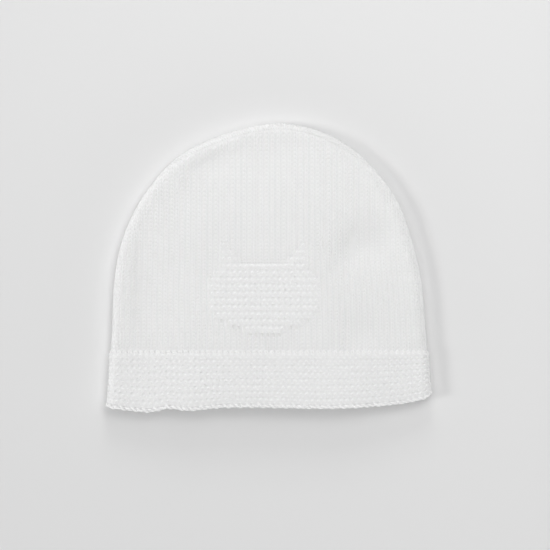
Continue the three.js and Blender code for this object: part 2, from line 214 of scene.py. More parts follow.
# How uneven the stitches are: sideways in stitches, upwards in rows, and the yarn's radius as a share
UNEVEN = {"across": 0.015, "along": 0.04, "radius": 0.04}
SEED = 20
LATTICE_SPARE = 8            # random values to spare in each direction
LATTICE_BEFORE = 3           # of which this many lie before the first stitch or row

# Slow waves in the front: radians a millimetre across and along, where they start, how high they are
WAVES = (
    {"x": 0.061, "y": 0.083, "phase": 0.4, "height": 0.16},
    {"x": -0.094, "y": 0.047, "phase": 2.1, "height": 0.13},
    {"x": 0.032, "y": -0.121, "phase": 4.4, "height": 0.10},
)

BODY = {"radius": EDGE_RADIUS, "middle": EDGE_RADIUS - PANEL_WALL / 2, "proud": 0.0}
BAND = {
    "radius": EDGE_RADIUS + BAND_PROUD / 2,
    "middle": EDGE_RADIUS + BAND_PROUD / 2 - BAND_WALL / 2,
    "proud": BAND_PROUD,
}
BAND_ROW = 1.62              # height of one of the band's rows
BAND_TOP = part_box("brim_band")[1].y / MM
PANEL_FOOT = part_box("front_panel")[0].y / MM
FRONT = 1
BACK = -1

# The room, the lights and the camera
FLOOR_SIZE = 3000
FLOOR_COLOUR = (0.767, 0.767, 0.767)
VIEW_X = 3.0                 # the photograph's middle, in the frame
VIEW_Y = -3.6
VIEW_WIDTH = 276.7           # what the photograph is wide, at the cap
CAMERA_HEIGHT = 1400
CAMERA_REACH = 10            # the camera sees this many metres far
SENSOR = 36.0
DIFFUSE_BOUNCES = 8
STRAIGHT = 0.9999            # a direction that is this much up or down counts as upright
SKY = 0.10                   # brightness of the room overhead
GLOW_TOP = 0.45              # the glow near the horizon ends at this height, as the sine of its elevation
# For each glow, the direction it faces across and along, how much of it is everywhere, and its brightness
GLOWS = (
    (0.0, 0.0, 1.0, 1.4),
    (0.0, -1.0, 0.0, 2.0),
)
WINDOW_SPREAD = math.radians(15)
# Places and sizes in metres
LIGHTS = (
    {"name": "window", "kind": "SUN", "energy": 0.8, "location": (-1.3, -0.15, 1.0), "angle": WINDOW_SPREAD},
    {"name": "softbox", "kind": "AREA", "energy": 1.9, "location": (0.25, 0.35, 0.8), "size": 0.5},
    {"name": "overhead", "kind": "AREA", "energy": 9.3, "location": (0.0, 0.0, 1.5), "size": 1.4},
    {"name": "strip", "kind": "AREA", "energy": 2.6, "location": (0.0, 0.95, 0.55), "size": 0.4},
)


# Curves and small helpers

def smoothstep(low, high, value):
    t = np.clip((value - low) / (high - low), 0, 1)
    return t * t * (3 - 2 * t)


def mix(a, b, share):
    return a + (b - a) * share


def unit(vectors):
    return vectors / np.maximum(np.linalg.norm(vectors, axis=-1, keepdims=True), TINY)


def curve_through(points, samples, power):
    """A Catmull-Rom curve. With power 0.5 its knots are spaced by the root of their distance, and
    with 0 evenly."""
    p = np.array(points, float)
    p = np.vstack([2 * p[0] - p[1], p, 2 * p[-1] - p[-2]])
    gaps = np.linalg.norm(np.diff(p, axis=0), axis=1)[:, None] ** power
    spans = len(points) - 1
    place = np.linspace(0, spans, samples + 1)
    k = np.minimum(place.astype(int), spans - 1)
    t = (place - k)[:, None]
    a, b, c, d = p[k], p[k + 1], p[k + 2], p[k + 3]
    before, here, after = gaps[k], gaps[k + 1], gaps[k + 2]
    leaving = ((b - a) / before - (c - a) / (before + here) + (c - b) / here) * here
    arriving = ((c - b) / here - (d - b) / (here + after) + (d - c) / after) * here
    return (
        (2 * t**3 - 3 * t**2 + 1) * b + (t**3 - 2 * t**2 + t) * leaving
        + (3 * t**2 - 2 * t**3) * c + (t**3 - t**2) * arriving
    )


outline = curve_through(OUTLINE, OUTLINE_SAMPLES, 0.5)
outline = np.vstack([outline[0] - [0, OUTLINE_TAIL], outline, outline[-1] - [0, OUTLINE_TAIL]])
hem_line = curve_through(HEM, OUTLINE_SAMPLES, 0)
outline_step = np.diff(outline, axis=0)
step_normal = unit(np.stack([outline_step[:, 1], -outline_step[:, 0]], axis=1))
point_normal = unit(np.vstack([step_normal[:1], step_normal[:-1] + step_normal[1:], step_normal[-1:]]))
highest = int(outline[:, 1].argmax())
left_side = outline[: highest + 1]
right_side = outline[highest:][::-1]


def to_outline(x, y):
    """How far inside the outline each point lies, the direction inwards, and the nearest edge's height."""
    points = np.stack([np.ravel(x), np.ravel(y)], axis=1)
    inside = np.empty(len(points))
    inwards = np.empty((len(points), 2))
    edge_y = np.empty(len(points))
    length2 = (outline_step**2).sum(1)
    for start in range(0, len(points), POINTS_AT_ONCE):
        end = start + POINTS_AT_ONCE
        p = points[start:end]
        away = p[:, None, :] - outline[None, :-1, :]
        share = np.clip((away * outline_step).sum(2) / length2, 0, 1)
        away -= share[:, :, None] * outline_step
        best = (away**2).sum(2).argmin(1)
        rows = np.arange(len(p))
        offset = away[rows, best]
        part = share[rows, best][:, None]
        sign = np.where((offset * step_normal[best]).sum(1) < 0, -1, 1)
        inside[start:end] = sign * np.linalg.norm(offset, axis=1)
        inwards[start:end] = unit(mix(point_normal[best], point_normal[best + 1], part))
        edge_y[start:end] = (p - offset)[:, 1]
    return inside.reshape(np.shape(x)), inwards.reshape(np.shape(x) + (2,)), edge_y.reshape(np.shape(x))


# From the flat plan to the lying cap

def seam_turn(edge_y):
    """Where the seam lies round the rounded edge, as an angle from the outermost edge towards the front."""
    return SEAM_INSET / EDGE_RADIUS * smoothstep(SEAM_TURN_LOW, SEAM_TURN_HIGH, edge_y)


def front_relief(x, y, inside):
    """Height of the front above its edges: the crown's rise, the dents and slow waves."""
    relief = CROWN_RISE * smoothstep(0, CROWN_REACH, inside)
    fade = smoothstep(0, EDGE_RADIUS, inside)
    for dent in DENTS:
        up = y - dent["y"]
        across = x - dent["x"] - dent["lean"] * up
        width = np.where(across < 0, dent["left"], dent["right"])
        far = (across / width)**2 + (up / dent["along"])**2
        relief = relief - dent["depth"] * np.exp(-far) * fade
    for wave in WAVES:
        relief = relief + wave["height"] * fade * np.sin(wave["x"] * x + wave["y"] * y + wave["phase"])
    return relief


def arc_gain(layer):
    """How much longer the way round the edge is than its plan."""
    return layer["proud"] + layer["middle"] * QUARTER_TURN - layer["radius"]


def lay(x, y, side, lift, layer, clear=0.0):
    """Lays points of the flat plan round the cap. Returns their places and the outward directions.
    clear is the least distance kept from the seam."""
    inside, inwards, edge_y = to_outline(x, y)
    middle = layer["middle"]
    arc = side * (inside + arc_gain(layer))
    seam_arc = middle * seam_turn(edge_y)
    arc = np.where(side > 0, np.maximum(arc, seam_arc + clear), np.minimum(arc, seam_arc - clear))
    lift = lift * (1 - SEAM_PRESS * (1 - smoothstep(0, SEAM_BANK, np.abs(arc - seam_arc))))
    turn = np.clip(arc / middle, -QUARTER_TURN, QUARTER_TURN)
    beyond = np.maximum(np.abs(arc) - middle * QUARTER_TURN, 0)
    reach = layer["radius"] - (middle + lift) * np.cos(turn) + beyond
    move = reach - inside - layer["proud"]
    place_x = x + inwards[..., 0] * move
    place_y = y + inwards[..., 1] * move
    height = layer["radius"] + (middle + lift) * np.sin(turn)
    height = height + np.where(arc > 0, front_relief(place_x, place_y, beyond), 0)
    outwards = np.stack(
        [-inwards[..., 0] * np.cos(turn), -inwards[..., 1] * np.cos(turn), np.sin(turn)], axis=-1
    )
    return np.stack([place_x, place_y, height], axis=-1), outwards


def wale_at(u, y, layer):
    """Sideways place of a point u stitches from the middle, at height y."""
    low = y - WALE_HOLD_SOFTNESS * np.logaddexp(0, (y - WALE_HOLD) / WALE_HOLD_SOFTNESS)
    left = np.interp(low, left_side[:, 1], left_side[:, 0])
    right = np.interp(low, right_side[:, 1], right_side[:, 0])
    half = (right - left) / 2 + arc_gain(layer)
    share = 2 * u / WALES
    crowd = WALE_CROWDING * smoothstep(WALE_CROWDING_FROM, WALE_CROWDING_TO, y)
    return (left + right) / 2 + half * ((1 + crowd) * share - crowd * share**3)


def figure_rows():
    return 2 * sum(line["ridges"] for line in FIGURE_CHART)


def plain_row_at(v):
    """Height of row v where no figure draws the rows down."""
    top_row = FIGURE_START_ROW + figure_rows()
    return PANEL_FOOT + SIDE_ROW * v + (SIDE_ROW_ABOVE - SIDE_ROW) * np.maximum(v - top_row, 0)


def front_row_at(v, x):
    """Height of row v of the front, where the figure's low garter rows draw the rows above them down."""
    top_row = FIGURE_START_ROW + figure_rows()
    below = (FIGURE_FOOT - PANEL_FOOT) / FIGURE_START_ROW * np.minimum(v, FIGURE_START_ROW)
    figure = FIGURE_ROW * np.clip(v - FIGURE_START_ROW, 0, figure_rows())
    above = MIDDLE_ROW_ABOVE * np.maximum(v - top_row, 0)
    middle_x = wale_at(FIGURE_MIDDLE_STITCH + 0.5 - WALES / 2 + WALE_SHIFT, 0.0, BODY)
    pull = 1 - smoothstep(FIGURE_PULL_FROM, FIGURE_PULL_TO, np.abs(x - middle_x))
    return mix(plain_row_at(v), PANEL_FOOT + below + figure + above, pull)


def lattice(seed):
    """A smooth random value between -1 and 1 for any stitch and row."""
    places = (ROWS_MOST + LATTICE_SPARE, 2 * WALES + LATTICE_SPARE)
    values = np.random.default_rng(seed).uniform(-1, 1, places)

    def value(u, v):
        u = np.clip(u + LATTICE_BEFORE, 0, values.shape[1] - 2)
        v = np.clip(v + LATTICE_BEFORE, 0, values.shape[0] - 2)
        i = u.astype(int)
        j = v.astype(int)
        s = smoothstep(0, 1, u - i)
        t = smoothstep(0, 1, v - j)
        return mix(mix(values[j, i], values[j, i + 1], s), mix(values[j + 1, i], values[j + 1, i + 1], s), t)

    return value


uneven_across = lattice(SEED)
uneven_along = lattice(SEED + 1)
uneven_radius = lattice(SEED + 2)


def panel_plan(u, v, side):
    """Flat plan place of a point of a panel, given in stitches from the left edge and rows from the foot."""
    across = u + UNEVEN["across"] * uneven_across(u, v) - WALES / 2 + WALE_SHIFT
    along = v + UNEVEN["along"] * uneven_along(u, v)
    y = plain_row_at(along)
    x = wale_at(across, y, BODY)
    if side == FRONT:
        y = front_row_at(along, x)
        x = wale_at(across, y, BODY)
    return x, y


def band_relief(v):
    """How far the band's rows stand out: alternate rows as ridges, and the top ones as a lip."""
    top = 2 * BAND_RIDGES
    return BAND_RIDGE * ridges(v) + BAND_LIP * smoothstep(top - BAND_LIP_ROWS, top - BAND_LIP_ROWS / 2, v)


def band_points(u, v, lift):
    """A point of the band, given in stitches round the opening and rows up from its foot."""
    around = np.mod(u + UNEVEN["across"] * uneven_across(u, v), 2 * WALES)
    side = np.where(around < WALES, FRONT, BACK)
    across = np.where(side == FRONT, around, 2 * WALES - around) - WALES / 2
    share = v / (2 * BAND_RIDGES) + UNEVEN["along"] * uneven_along(u, v) / (2 * BAND_RIDGES)
    y = np.full(np.shape(u), BAND_TOP)
    for _ in range(2):
        x = wale_at(across, y, BAND)
        edge = np.minimum(x - np.interp(y, left_side[:, 1], left_side[:, 0]),
                          np.interp(y, right_side[:, 1], right_side[:, 0]) - x)
        turn = np.clip(side * (edge + arc_gain(BAND)) / BAND["middle"], -QUARTER_TURN, QUARTER_TURN)
        shorter = BACK_HEM_SHORTER * (1 - np.sin(turn)) / 2
        foot = np.interp(x, hem_line[:, 0], hem_line[:, 1]) + EDGE_BEAD_HEIGHT + shorter
        y = mix(foot, BAND_TOP, share)
    return lay(x, y, side, lift, BAND)


# One row of loops

def loop_path(first, last, row, low, up, garter, steps):
    """The yarn through stitches first to last of a row: place in stitches and rows, and height in the fabric.
    low and up say for each stitch how this row and the next one were worked, KNIT or PURL, and garter whether
    it is a garter stitch."""
    t = np.arange(steps) / steps * FULL_TURN
    stitch = np.arange(first, last + 1)
    swing = np.where(garter, GARTER_SWING, LOOP_SWING)
    u = stitch[:, None] + t / FULL_TURN + swing[:, None] * np.sin(2 * t) - LOOP_SPREAD * np.sin(t)
    reach = np.where(garter, GARTER_REACH, LOOP_REACH)
    depth = np.where(garter, GARTER_DEPTH, PLAIN_DEPTH)
    v = row + 0.5 - reach[:, None] * np.cos(t)
    fold = np.minimum(t, FULL_TURN - t)
    before = np.concatenate([low[:1], low[:-1]])
    after = np.concatenate([low[1:], low[-1:]])
    neighbour = np.where(t[None, :] < HALF_TURN, before[:, None], after[:, None])
    start = mix((neighbour + low[:, None]) / 2, low[:, None], smoothstep(0, FOOT_TURN, fold))
    alike = (start + up[:, None]) / 2
    turned = (start - up[:, None]) / 2
    height = -depth[:, None] * (alike * np.cos(2 * t) + turned * np.cos(t)**3)
    tile_u = np.broadcast_to(t / FULL_TURN, u.shape)
    tile = stitch * TILE_STEP + row * TILE_ROW_STEP + (stitch * row) // TILE_MIX
    tile = tile % (TILES * TILES)
    tile = np.broadcast_to(tile[:, None], u.shape)
    return u.ravel(), v.ravel(), height.ravel(), tile_u.ravel(), tile.ravel()


def loop_radius(u, v, garter, steps):
    """The yarn's radius along a row. garter is the share by which each place is garter stitch."""
    turn = np.arange(len(u)) / steps * FULL_TURN
    worked = 1 + garter * (GARTER_FULLER + GARTER_BEAD * np.cos(2 * turn))
    return YARN_RADIUS * (1 + UNEVEN["radius"] * uneven_radius(u, v)) * worked


def ridges(v):
    """The relief of garter rows: 1 at each ridge, -1 between two of them."""
    return -np.cos(HALF_TURN * v)


def open_run(path):
    """Ends an open row's path with its last point, one stitch on from the first one of its last stitch."""
    u, v, height, tile_u, tile = path
    steps = int(round(1 / tile_u[1]))
    return (
        np.append(u, u[-steps] + 1), np.append(v, v[-steps]), np.append(height, height[-steps]), tile_u, tile
    )


def tube(points, outwards, radius, tile_u, tile, sides, flat=0.0, closed=False):
    """One yarn with its faces and finish coordinates. tile_u and tile say for each section where it starts.
    flat is the share by which the yarn is wider in the fabric and thinner through it."""
    count = len(points)
    ahead = np.roll(points, -1, axis=0)
    behind = np.roll(points, 1, axis=0)
    if not closed:
        ahead[-1] = points[-1]
        behind[0] = points[0]
    along = unit(ahead - behind)
    across = unit(np.cross(outwards, along))
    upwards = np.cross(along, across)
    angle = np.arange(sides) / sides * FULL_TURN
    flat = np.broadcast_to(flat, count)[:, None]
    across = across * (1 + flat)
    upwards = upwards * (1 - flat)
    ring = across[:, None, :] * np.cos(angle)[:, None] + upwards[:, None, :] * np.sin(angle)[:, None]
    vertices = points[:, None, :] + ring * np.broadcast_to(radius, count)[:, None, None]
    sections = count if closed else count - 1
    k = np.arange(sections)[:, None]
    s = np.arange(sides)[None, :]
    next_k = (k + 1) % count
    next_s = (s + 1) % sides
    quads = np.stack(
        [k * sides + s, k * sides + next_s, next_k * sides + next_s, next_k * sides + s], axis=-1
    )
    start = tile_u[:sections]
    end = np.roll(start, -1)
    end = np.where(end <= start, 1.0, end)
    if not closed:
        end[-1] = 1.0
    corner_u = np.stack([start, start, end, end], axis=-1)[:, None, :]
    corner_v = np.stack([s[0], s[0] + 1, s[0] + 1, s[0]], axis=-1)[None, :, :] / sides
    tile_x = (tile[:sections] % TILES)[:, None, None]
    tile_y = (tile[:sections] // TILES)[:, None, None]
    uv = np.stack(np.broadcast_arrays((tile_x + corner_u) / TILES, (tile_y + corner_v) / TILES), axis=-1)
    caps = [] if closed else [np.arange(sides)[::-1], np.arange(sides) + (count - 1) * sides]
    return {
        "vertices": vertices.reshape(-1, 3), "quads": quads.reshape(-1, 4), "uv": uv.reshape(-1, 4, 2),
        "caps": caps,
    }


# Meshes

def add_mesh(name, vertices, faces, uv, material):
    """A mesh object from faces of any one or two sizes. uv has a coordinate for each corner of each face."""
    mesh = bpy.data.meshes.new(name)
    totals = np.concatenate([np.full(len(f), f.shape[1]) for f in faces])
    corners = np.concatenate([f.ravel() for f in faces])
    mesh.vertices.add(len(vertices))
    mesh.vertices.foreach_set("co", (np.asarray(vertices) * MM).astype(np.float32).ravel())
    mesh.loops.add(len(corners))
    mesh.loops.foreach_set("vertex_index", corners.astype(np.int32))
    mesh.polygons.add(len(totals))
    starts = np.concatenate([[0], np.cumsum(totals)[:-1]])
    mesh.polygons.foreach_set("loop_start", starts.astype(np.int32))
    mesh.polygons.foreach_set("loop_total", totals.astype(np.int32))
    mesh.polygons.foreach_set("use_smooth", np.full(len(totals), True))
    coordinates = np.concatenate([c.reshape(-1, 2) for c in uv]).astype(np.float32).ravel()
    for layer_name in ("OFBake", "yarn"):
        layer = mesh.uv_layers.new(name=layer_name)
        layer.data.foreach_set("uv", coordinates)
    mesh.update(calc_edges=True)
    mesh.validate()
    mesh.materials.append(material)
    piece = bpy.data.objects.new(name, mesh)
    bpy.context.scene.collection.objects.link(piece)
    return piece


def join_tubes(name, tubes, material):
    """One mesh object from many yarns."""
    offset = 0
    vertices = []
    quads = []
    caps = []
    quad_uv = []
    cap_uv = []
    for one in tubes:
        vertices.append(one["vertices"])
        quads.append(one["quads"] + offset)
        quad_uv.append(one["uv"])
        for cap in one["caps"]:
            caps.append(cap + offset)
            angle = np.arange(len(cap)) / len(cap) * FULL_TURN
            cap_uv.append(CAP_PLACE + CAP_REACH * np.stack([np.cos(angle), np.sin(angle)], axis=1))
        offset += len(one["vertices"])
    faces = [np.concatenate(quads)]
    uv = [np.concatenate(quad_uv)]
    if caps:
        faces.append(np.array(caps))
        uv.append(np.array(cap_uv))
    return add_mesh(name, np.concatenate(vertices), faces, uv, material)


def grid_shell(name, outer, inner, material, around=False):
    """A thin closed shell between two grids of points. With around, the first direction closes on itself."""
    rows, columns = outer.shape[:2]
    vertices = np.concatenate([outer.reshape(-1, 3), inner.reshape(-1, 3)])
    below = rows * columns
    i = np.arange(rows if around else rows - 1)[:, None]
    j = np.arange(columns - 1)[None, :]
    next_i = (i + 1) % rows
    top = np.stack(
        [i * columns + j, next_i * columns + j, next_i * columns + j + 1, i * columns + j + 1], axis=-1
    ).reshape(-1, 4)
    borders = [(i[:, 0] * columns, next_i[:, 0] * columns),
               (next_i[:, 0] * columns + columns - 1, i[:, 0] * columns + columns - 1)]
    if not around:
        last = (rows - 1) * columns
        borders.append((j[0] + 1, j[0]))
        borders.append((last + j[0], last + j[0] + 1))
    rim = np.concatenate([np.stack([b, a, a + below, b + below], axis=-1) for a, b in borders])
    faces = np.concatenate([top, top[:, ::-1] + below, rim])
    share_i = np.arange(rows + 1) / rows
    share_j = np.arange(columns) / columns
    place_i = np.stack([i, i + 1, i + 1, i], axis=-1) + 0 * j[..., None]
    place_j = np.stack([j, j, j + 1, j + 1], axis=-1) + 0 * i[..., None]
    top_uv = np.stack([share_i[place_i], share_j[place_j]], axis=-1).reshape(-1, 4, 2)
    corner = np.array([[0.0, 0.0], [RIM_REACH, 0.0], [RIM_REACH, RIM_REACH], [0.0, RIM_REACH]])
    rim_uv = np.broadcast_to(corner, (len(rim), 4, 2))
    uv = np.concatenate([top_uv, top_uv[:, ::-1], rim_uv])
    return add_mesh(name, vertices, [faces], [uv], material)


# Materials

def new_material(name):
    material = bpy.data.materials.new(name)
    material.use_nodes = True
    return material, material.node_tree.nodes, material.node_tree.links


def math_node(nodes, links, operation, a, b=None):
    node = nodes.new("ShaderNodeMath")
    node.operation = operation
    for socket, value in zip(node.inputs, (a, b)):
        if value is None:
            continue
        if isinstance(value, (int, float)):
            socket.default_value = value
        else:
            links.new(value, socket)
    return node.outputs[0]


def yarn_material(name, pale, deep):
    """White cotton yarn: plies twisted together, with fibres along them, drawn in a stitch's own patch. The
    grooves between the plies are painted darker, as shade.
    """
    material, nodes, links = new_material(name)
    shader = nodes["Principled BSDF"]
    shader.inputs["Roughness"].default_value = 0.86
    shader.inputs["Specular IOR Level"].default_value = 0.25
    shader.inputs["Sheen Weight"].default_value = 0.12
    shader.inputs["Sheen Roughness"].default_value = 0.5
    shader.inputs["Subsurface Weight"].default_value = 0.4
    shader.inputs["Subsurface Radius"].default_value = (1, 1, 1)
    shader.inputs["Subsurface Scale"].default_value = YARN_SCATTER * MM
    place = nodes.new("ShaderNodeUVMap")
    place.uv_map = "yarn"
    split = nodes.new("ShaderNodeSeparateXYZ")
    links.new(place.outputs["UV"], split.inputs[0])
    along = math_node(nodes, links, "MULTIPLY", split.outputs[0], FULL_TURN * TILES * PLY_TURNS)
    around = math_node(nodes, links, "MULTIPLY", split.outputs[1], FULL_TURN * TILES * PLIES)
    wound = math_node(nodes, links, "SINE", math_node(nodes, links, "ADD", along, around))
    ply_relief_and_shade = math_node(nodes, links, "ADD", math_node(nodes, links, "MULTIPLY", wound, 0.5), 0.5)
    stretch = nodes.new("ShaderNodeMapping")
    stretch.inputs["Scale"].default_value = FIBRE_SCALE
    stretch.inputs["Rotation"].default_value = (0, 0, FIBRE_SLANT)
    links.new(place.outputs["UV"], stretch.inputs["Vector"])
    fibre = nodes.new("ShaderNodeTexNoise")
    fibre.inputs["Scale"].default_value = 1.0
    fibre.inputs["Detail"].default_value = 2.0
    links.new(stretch.outputs["Vector"], fibre.inputs["Vector"])
    patch = nodes.new("ShaderNodeTexNoise")
    patch.inputs["Scale"].default_value = PATCH_SCALE
    patch.inputs["Detail"].default_value = 1.0
    links.new(place.outputs["UV"], patch.inputs["Vector"])
    # the grooves between the plies are painted darker: painted shade, on top of their bump
    tone = math_node(nodes, links, "MULTIPLY", ply_relief_and_shade, PLY_SHADE_TONE)
    for noise, share in ((fibre, FIBRE_TONE), (patch, PATCH_TONE)):
        part = math_node(nodes, links, "MULTIPLY", noise.outputs["Fac"], share)
        tone = math_node(nodes, links, "ADD", tone, part)
    colour = nodes.new("ShaderNodeMix")
    colour.data_type = "RGBA"
    colour.inputs["A"].default_value = (*deep, 1)
    colour.inputs["B"].default_value = (*pale, 1)
    links.new(tone, colour.inputs["Factor"])
    links.new(colour.outputs["Result"], shader.inputs["Base Color"])
    relief = math_node(nodes, links, "MULTIPLY", fibre.outputs["Fac"], FIBRE_RELIEF)
    bump = nodes.new("ShaderNodeBump")
    bump.inputs["Strength"].default_value = 0.5
    bump.inputs["Distance"].default_value = YARN_BUMP * MM
    links.new(math_node(nodes, links, "ADD", ply_relief_and_shade, relief), bump.inputs["Height"])
    links.new(bump.outputs["Normal"], shader.inputs["Normal"])
    return material


def core_material(name, pale, deep):
    """The felted middle of the fabric, seen only in the gaps between the loops, coloured darker than the yarn
    as painted shade of those gaps.
    """
    material, nodes, links = new_material(name)
    shader = nodes["Principled BSDF"]
    shader.inputs["Roughness"].default_value = 0.9
    shader.inputs["Specular IOR Level"].default_value = 0.2
    place = nodes.new("ShaderNodeUVMap")
    place.uv_map = "yarn"
    fuzz = nodes.new("ShaderNodeTexNoise")
    fuzz.inputs["Scale"].default_value = FUZZ_SCALE
    fuzz.inputs["Detail"].default_value = 2.0
    links.new(place.outputs["UV"], fuzz.inputs["Vector"])
    colour = nodes.new("ShaderNodeMix")
    colour.data_type = "RGBA"
    colour.inputs["A"].default_value = (*deep, 1)
    colour.inputs["B"].default_value = (*pale, 1)
    links.new(fuzz.outputs["Fac"], colour.inputs["Factor"])
    links.new(colour.outputs["Result"], shader.inputs["Base Color"])
    bump = nodes.new("ShaderNodeBump")
    bump.inputs["Strength"].default_value = 0.3
    bump.inputs["Distance"].default_value = CORE_BUMP * MM
    links.new(fuzz.outputs["Fac"], bump.inputs["Height"])
    links.new(bump.outputs["Normal"], shader.inputs["Normal"])
    return material


plain_yarn = yarn_material("plain_yarn", YARN_PALE, YARN_DEEP)
garter_yarn = yarn_material("garter_yarn", YARN_PALE, YARN_DEEP)
seam_yarn = yarn_material("seam_yarn", YARN_PALE, YARN_DEEP)
# all cores take the darker colours, painted shade in the gaps between the loops
shaded_core = core_material("shaded_core", CORE_SHADE_PALE, CORE_SHADE_DEEP)


# The panels

def figure_stitches():
    """For each row and stitch of the front, whether it belongs to the figure."""
    inside = np.zeros((ROWS_MOST, WALES), bool)
    distance = np.abs(np.arange(WALES) - FIGURE_MIDDLE_STITCH)
    row = FIGURE_START_ROW
    for line in reversed(FIGURE_CHART):
        for _ in range(2 * line["ridges"]):
            inside[row] = (distance >= line["from"]) & (distance <= line["to"])
            row += 1
    return inside


def row_extents(side):
    """First and last stitch of each row of a panel: those whose middle is inside the seam."""
    extents = []
    stitch = np.arange(WALES)
    for row in range(ROWS_MOST - ROWS_SPARE):
        x, y = panel_plan(stitch + 0.5, np.full(WALES, row + 0.5), side)
        inside, _, edge_y = to_outline(x, y)
        arc = side * (inside + arc_gain(BODY))
        seam_arc = BODY["middle"] * seam_turn(edge_y)
        covered = stitch[side * (arc - seam_arc) > SEAM_MARGIN]
        if len(covered) < FEWEST_STITCHES:
            break
        extents.append((covered[0], covered[-1]))
    return extents


def knit_panel(name, side, pieces, material, steps, sides):
    """A panel's rows of loops, as several mesh objects from the foot up."""
    figure = figure_stitches() if side == FRONT else np.zeros((ROWS_MOST, WALES), bool)
    extents = row_extents(side)
    tubes = []
    for row, (first, last) in enumerate(extents):
        garter = figure[row, first:last + 1]
        ridge_row = (row - FIGURE_START_ROW) % 2 == 1
        low = np.where(garter & ridge_row, PURL, KNIT)
        next_ridge = (row + 1 - FIGURE_START_ROW) % 2 == 1
        up = np.where(figure[row + 1, first:last + 1] & next_ridge, PURL, KNIT)
        u, v, height, tile_u, tile = open_run(loop_path(first, last, row, low, up, garter, steps))
        share = np.interp(u, np.arange(first, last + 1) + 0.5, garter.astype(float))
        raised = share * (FIGURE_LIFT + FIGURE_RIDGE * ridges(v - FIGURE_START_ROW))
        x, y = panel_plan(u, v, side)
        points, outwards = lay(x, y, side, height + raised, BODY, SEAM_CLEAR)
        radius = loop_radius(u, v, share, steps)
        flat = mix(PLAIN_FLAT, GARTER_FLAT, share)
        tubes.append(tube(points, outwards, radius, tile_u, tile, sides, flat))
    made = []
    share = [round(k * len(tubes) / len(pieces)) for k in range(len(pieces) + 1)]
    for suffix, start, end in zip(pieces, share, share[1:]):
        made.append(join_tubes(f"{name}_{suffix}", tubes[start:end], material))
    return made


def crowded(count):
    """Shares from 0 to 1 that lie close together at both ends."""
    t = np.linspace(0, 1, count)
    return t - CORE_CROWDING * np.sin(FULL_TURN * t) / FULL_TURN


def panel_core(name, side, material):
    """The middle sheet of a panel, a patch between the seam's left side, crown and right side and the
    foot. Returns it with its flat size and area."""
    keep = outline[outline[:, 1] > PANEL_FOOT]
    normal = point_normal[outline[:, 1] > PANEL_FOOT]
    arc = BODY["middle"] * seam_turn(keep[:, 1])
    edge = keep + normal * (side * arc - arc_gain(BODY))[:, None]
    top = int(keep[:, 1].argmax())
    left = edge[:top][keep[:top, 1] <= CORE_CORNER]
    right = edge[top:][keep[top:, 1] <= CORE_CORNER][::-1]
    crown = edge[len(left) - 1:len(edge) - len(right) + 1]
    left[0, 1] = right[0, 1] = PANEL_FOOT

    def along(line, shares):
        length = np.concatenate([[0], np.cumsum(np.linalg.norm(np.diff(line, axis=0), axis=1))])
        return np.stack([np.interp(shares * length[-1], length, line[:, k]) for k in range(2)], axis=1)

    across = crowded(CORE_COLUMNS)
    upwards = crowded(CORE_ROWS)
    bottom_line = along(np.array([left[0], right[0]]), across)[:, None, :]
    crown_line = along(crown, across)[:, None, :]
    left_line = along(left, upwards)[None, :, :]
    right_line = along(right, upwards)[None, :, :]
    s = across[:, None, None]
    t = upwards[None, :, None]
    corners = mix(mix(left[0], right[0], s), mix(left[-1], right[-1], s), t)
    plan = mix(left_line, right_line, s) + mix(bottom_line, crown_line, t) - corners
    outer, _ = lay(plan[..., 0], plan[..., 1], side, CORE_THICK / 2, BODY)
    inner, _ = lay(plan[..., 0], plan[..., 1], side, -CORE_THICK / 2, BODY)
    if side == BACK:
        outer, inner = inner, outer
    piece = grid_shell(name, outer, inner, material)
    ring = np.concatenate([left, crown[1:-1], right[::-1]])
    area = abs(np.cross(ring, np.roll(ring, -1, axis=0)).sum()) / 2
    size = ring.max(0) - ring.min(0)
    return piece, size, area


def figure_core(name, material):
    """A patch under the figure that fills its thicker, ridged fabric."""
    inside = figure_stitches().astype(float)
    width = FIGURE_CORE_REACH
    u = np.arange(-2 * width, 2 * width + 1) / 2 + FIGURE_MIDDLE_STITCH + 0.5
    v = np.arange(-2, 2 * figure_rows() + 3) / 2 + FIGURE_START_ROW
    left = np.floor(u - 0.5).astype(int)
    below = np.floor(v - 0.5).astype(int)
    s = (u - 0.5 - left)[:, None]
    t = (v - 0.5 - below)[None, :]

    def worked(i, j):
        return inside[j[None, :], i[:, None]]

    share = mix(mix(worked(left, below), worked(left + 1, below), s),
                mix(worked(left, below + 1), worked(left + 1, below + 1), s), t)
    u, v = np.meshgrid(u, v, indexing="ij")
    swell = FIGURE_SWELL + FIGURE_RIDGE * ridges(v - FIGURE_START_ROW)
    x, y = panel_plan(u, v, FRONT)
    outer, _ = lay(x, y, FRONT, CORE_THICK / 2 + mix(-FIGURE_CORE_SUNK, swell, share), BODY)
    inner, _ = lay(x, y, FRONT, np.zeros_like(x), BODY)
    return grid_shell(name, outer, inner, material)


front_knit = knit_panel("front_knit", FRONT, ("low", "middle", "crown"), plain_yarn, FRONT_STEPS, FRONT_SIDES)
back_knit = knit_panel("back_knit", BACK, ("low", "crown"), plain_yarn, BACK_STEPS, BACK_SIDES)
front_core, front_size, front_area = panel_core("front_core", FRONT, shaded_core)
front_figure_core = figure_core("front_figure_core", shaded_core)
back_core, back_size, back_area = panel_core("back_core", BACK, shaded_core)


# The band and its cast-on edge

